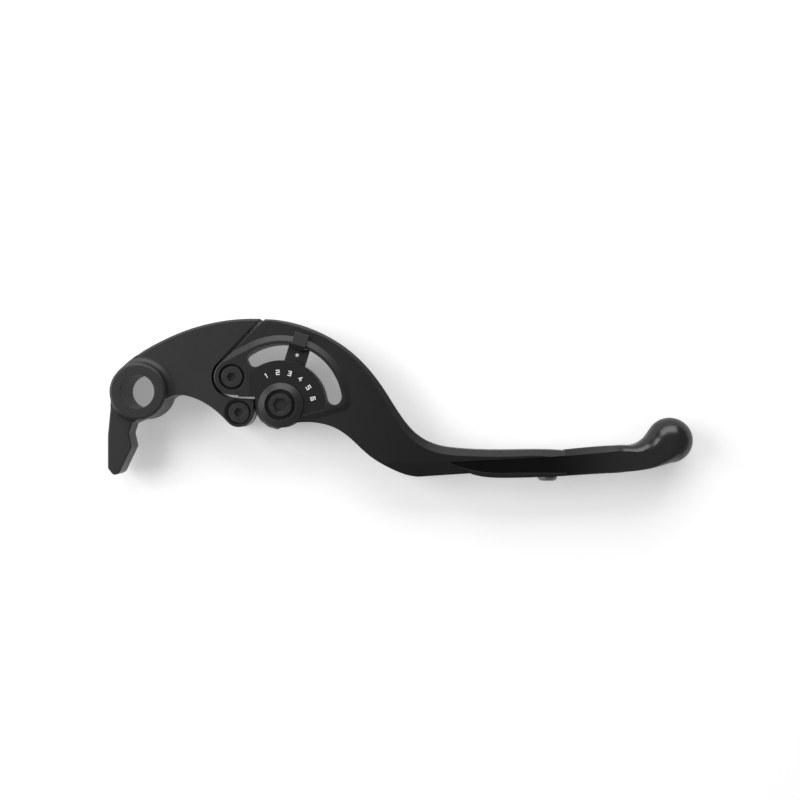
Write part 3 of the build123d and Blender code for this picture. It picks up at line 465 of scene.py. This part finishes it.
TONGUE_START = 91.8
TONGUE_END = 126.6
TONGUE_STEPS = 24
TONGUE_SPACING = 1.3
TONGUE_TOP = 4.45
TONGUE_LIFT = 0.149             # brings it level with the grip at the seam
TONGUE_LIFTS = (112, 126)


def curve_at(points, x):
    """Smooth curve through (x, value) points."""
    k = max(i for i in range(len(points) - 1) if points[i][0] <= x or i == 0)
    spans = [(b[1] - a[1]) / (b[0] - a[0]) for a, b in zip(points, points[1:])]
    slopes = [spans[0]] + [(p + q) / 2 for p, q in zip(spans, spans[1:])] + [spans[-1]]
    (x0, v0), (x1, v1) = points[k], points[k + 1]
    wide = x1 - x0
    t = min(max((x - x0) / wide, 0), 1)
    first = (2 * t ** 3 - 3 * t ** 2 + 1) * v0 + (t ** 3 - 2 * t ** 2 + t) * wide * slopes[k]
    return first + (3 * t ** 2 - 2 * t ** 3) * v1 + (t ** 3 - t ** 2) * wide * slopes[k + 1]


def smooth(x, start, end):
    """0 before a start, 1 after an end, eased between them."""
    t = min(max((x - start) / (end - start), 0), 1)
    return t * t * (3 - 2 * t)


def quarter_section(width, height, bevel, drop, shoulder, blend, fade=1.0):
    """Quarter of a section from its side to its top: bevelled box mixed with a round shoulder.

    Before its crease has faded, the shoulder is lower and meets the top at an angle.
    """
    last = radians(CREASE_TURN + (90 - CREASE_TURN) * fade)
    rise = CREASE_RISE * shoulder + (height - CREASE_RISE * shoulder) * fade
    points = []
    for i in range(QUARTER_STEPS + 1):
        t = i / QUARTER_STEPS
        inwards = (t - BEVEL_END) / (1 - BEVEL_END)
        if t < SIDE_END:
            box_point = Vector((width, (height - drop) * t / SIDE_END))
        elif t < BEVEL_END:
            part = (t - SIDE_END) / (BEVEL_END - SIDE_END)
            box_point = Vector((width - bevel * part, height - drop * (1 - part)))
        else:
            box_point = Vector(((width - bevel) * (1 - inwards), height))
        if t < BEVEL_END:
            turn = t / BEVEL_END * last
            inset = shoulder * (1 - cos(turn)) / (1 - cos(last))
            round_point = Vector((width - inset, height - rise * (1 - sin(turn) / sin(last))))
            if i == 0:
                round_point.y = 0
        else:
            round_point = Vector(((width - shoulder) * (1 - inwards), height))
        points.append(box_point.lerp(round_point, blend))
    return points


def tip_station(outer, inner, height, bevel, shoulders, blend, fade):
    """Closed section between an outer and an inner point, with a shoulder on each side."""
    outer, inner = Vector(outer), Vector(inner)
    centre = (outer + inner) / 2
    across = (outer - inner) / 2
    width = across.length
    across.normalize()
    outer_shoulder, inner_shoulder = (min(shoulder, width) for shoulder in shoulders)
    upper_out = quarter_section(
        width, height, bevel, OUTER_BEVEL_DROP, outer_shoulder, blend, fade
    )
    upper_in = quarter_section(width, height, INNER_BEVEL, INNER_BEVEL, inner_shoulder, blend)
    ring = upper_out + [Vector((-p.x, p.y)) for p in upper_in[-2::-1]]
    ring += [Vector((p.x, -p.y)) for p in ring[-2:0:-1]]
    return [(centre.x + across.x * p.x, centre.y + across.y * p.x, p.y) for p in ring]


def skin(work, rings):
    """Quads between closed rings, with both ends filled."""
    loops = [[work.verts.new([c * MM for c in point]) for point in ring] for ring in rings]
    for first, second in zip(loops, loops[1:]):
        for k in range(len(first)):
            work.faces.new((first[k - 1], first[k], second[k], second[k - 1]))
    work.faces.new(loops[0])
    work.faces.new(loops[-1][::-1])


def add_grip(work):
    """Grip and neck, from the seam to the ball's middle section."""
    outer = [
        (SEAM_X, -17.38), (132.0, -16.83), (137.5, -16.37), (144.0, -16.05), (146.85, -15.98),
        (148.1, -15.55), (149.4, -14.74), (150.6, -13.66), (151.5, -12.49), (152.4, -11.1),
        (153.3, -10.05), (154.92, -8.68),
    ]
    inner = [
        (SEAM_X, -25.0), (132.0, -24.65), (137.0, -24.36), (143.0, -24.05), (147.6, -23.76),
        (150.3, -23.4), (153.0, -22.86), (155.7, -22.15), (158.4, -21.4), (161.58, -20.52),
    ]
    top = [
        (SEAM_X, 4.6), (143.0, 4.6), (147.5, 4.72), (150.5, 5.05), (153.0, 5.6), (155.5, 6.3),
        (BALL[0], BALL_R),
    ]
    outer_shoulder = [
        (SEAM_X, 1.7), (145.0, 1.7), (149.0, 2.1), (151.5, 2.8), (154.0, 4.2),
        (BALL[0], BALL_R),
    ]
    inner_shoulder = [
        (SEAM_X, 0.4), (147.0, 0.5), (152.0, 1.2), (155.5, 3.2), (BALL[0], BALL_R),
    ]
    rings = []
    for i in range(GRIP_STEPS + 1):
        t = i / GRIP_STEPS
        x_out = SEAM_X + OUTER_RUN * t
        x_in = SEAM_X + INNER_RUN * t ** INNER_SPACING
        x_mid = (x_out + x_in) / 2
        rings.append(tip_station(
            (x_out, curve_at(outer, x_out)),
            (x_in, curve_at(inner, x_in)),
            curve_at(top, x_mid),
            OUTER_BEVEL - BEVEL_LESS * smooth(x_mid, *BEVEL_NARROWS),
            (curve_at(outer_shoulder, x_mid), curve_at(inner_shoulder, x_mid)),
            smooth(x_mid, *BOX_ROUNDS),
            smooth(x_mid, *CREASE_FADES),
        ))
    skin(work, rings)


def add_tongue(work):
    """The tongue in the arm's slot, level with the grip at the seam."""
    upper = [
        (TONGUE_START, -21.0), (99.0, -20.62), (110.0, -20.07), (120.0, -19.57),
        (TONGUE_END, -19.1),
    ]
    lower = [
        (TONGUE_START, -21.15), (97.5, -22.97), (103.5, -23.92), (112.0, -24.02),
        (TONGUE_END, -24.02),
    ]
    rings = []
    for i in range(TONGUE_STEPS + 1):
        x = TONGUE_START + (TONGUE_END - TONGUE_START) * (i / TONGUE_STEPS) ** TONGUE_SPACING
        top = TONGUE_TOP + TONGUE_LIFT * smooth(x, *TONGUE_LIFTS)
        high, low = curve_at(upper, x), curve_at(lower, x)
        rings.append([(x, high, top), (x, low, top), (x, low, -top), (x, high, -top)])
    skin(work, rings)


def add_ball(work):
    """The ball end, its faces sorted because they are made in another order each run."""
    place = Matrix.Translation((BALL[0] * MM, BALL[1] * MM, 0))
    bmesh.ops.create_uvsphere(
        work, u_segments=64, v_segments=40, radius=BALL_R * MM, matrix=place
    )
    work.verts.index_update()
    count = len(work.verts)

    def rank(face):
        first, second, third = sorted(vert.index for vert in face.verts)[:3]
        return (first * count + second) * count + third

    work.faces.sort(key=rank)


def tip_insert():
    """Tongue, grip, neck and ball as one piece."""
    parts = [new_mesh("tip_part", fill) for fill in (add_tongue, add_grip, add_ball)]
    joined = bmesh.new()
    for part in parts:
        joined.from_mesh(part)
    mesh = bpy.data.meshes.new("tip_insert")
    joined.to_mesh(mesh)
    joined.free()
    for part in parts:
        bpy.data.meshes.remove(part)
    mesh.shade_smooth()
    mesh.set_sharp_from_angle(angle=radians(SHARP_DEG))
    piece = add_object("tip_insert", mesh)
    mesh.materials.append(MATERIALS["grip_tip"])
    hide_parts("grip_tip")
    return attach(piece, "blade")


tip_insert()


# ---- floor, light and camera ----------------------------------------------------------------
CENTRE = (0.08, 0, 0)
FLOOR_SIZE = 4
FLOOR_GAP = 0.0001
FLOOR_GLOW = 0.26
WHITE = (1, 1, 1, 1)
ROOM_LIGHT = 0.36
LENS = 47.88                    # millimetres, as is the sensor's width
SENSOR_WIDTH = 36
EYE = (0.0772, -0.0025, 0.320)


def floor():
    """Plain pale surface that the lever lies on."""
    place = (CENTRE[0], CENTRE[1], cad_low.z - FLOOR_GAP)
    bpy.ops.mesh.primitive_plane_add(size=FLOOR_SIZE, location=place)
    plane = bpy.context.object
    plane.name = "floor"
    material, tree, shader = new_material("floor_paper")
    tone = ramp(tree, noise(tree, 3, 2), grey(0.90), grey(0.91))
    tree.links.new(tone, shader.inputs["Base Color"])
    shader.inputs["Roughness"].default_value = 0.9
    shader.inputs["Specular IOR Level"].default_value = 0.1
    shader.inputs["Emission Color"].default_value = WHITE
    shader.inputs["Emission Strength"].default_value = FLOOR_GLOW
    plane.data.materials.append(material)


def area_light(name, place, size, power):
    """Rectangular softbox that faces the lever."""
    data = bpy.data.lights.new(name, "AREA")
    data.shape = "RECTANGLE"
    data.size, data.size_y = size
    data.energy = power
    lamp = add_object(name, data)
    lamp.location = place
    facing = Vector(CENTRE) - Vector(place)
    lamp.rotation_euler = facing.to_track_quat("-Z", "Y").to_euler()


def lighting():
    """Even room light, a wide softbox beyond the lever and one at the pivot's end."""
    world = bpy.data.worlds.new("room")
    world.use_nodes = True
    background = world.node_tree.nodes["Background"]
    background.inputs["Color"].default_value = WHITE
    background.inputs["Strength"].default_value = ROOM_LIGHT
    bpy.context.scene.world = world
    area_light("far_softbox", place=(0.08, 0.79, 0.42), size=(1.0, 0.6), power=6.3)
    area_light("side_softbox", place=(-0.64, 0.15, 0.50), size=(0.65, 0.6), power=5.2)


def camera():
    """Straight down on the numbered side."""
    data = bpy.data.cameras.new("camera")
    data.sensor_width = SENSOR_WIDTH
    data.lens = LENS
    data.clip_start = 0.01
    eye = add_object("camera", data)
    eye.location = EYE
    bpy.context.scene.camera = eye


floor()
lighting()
camera()
bpy.context.scene.view_settings.view_transform = "Standard"
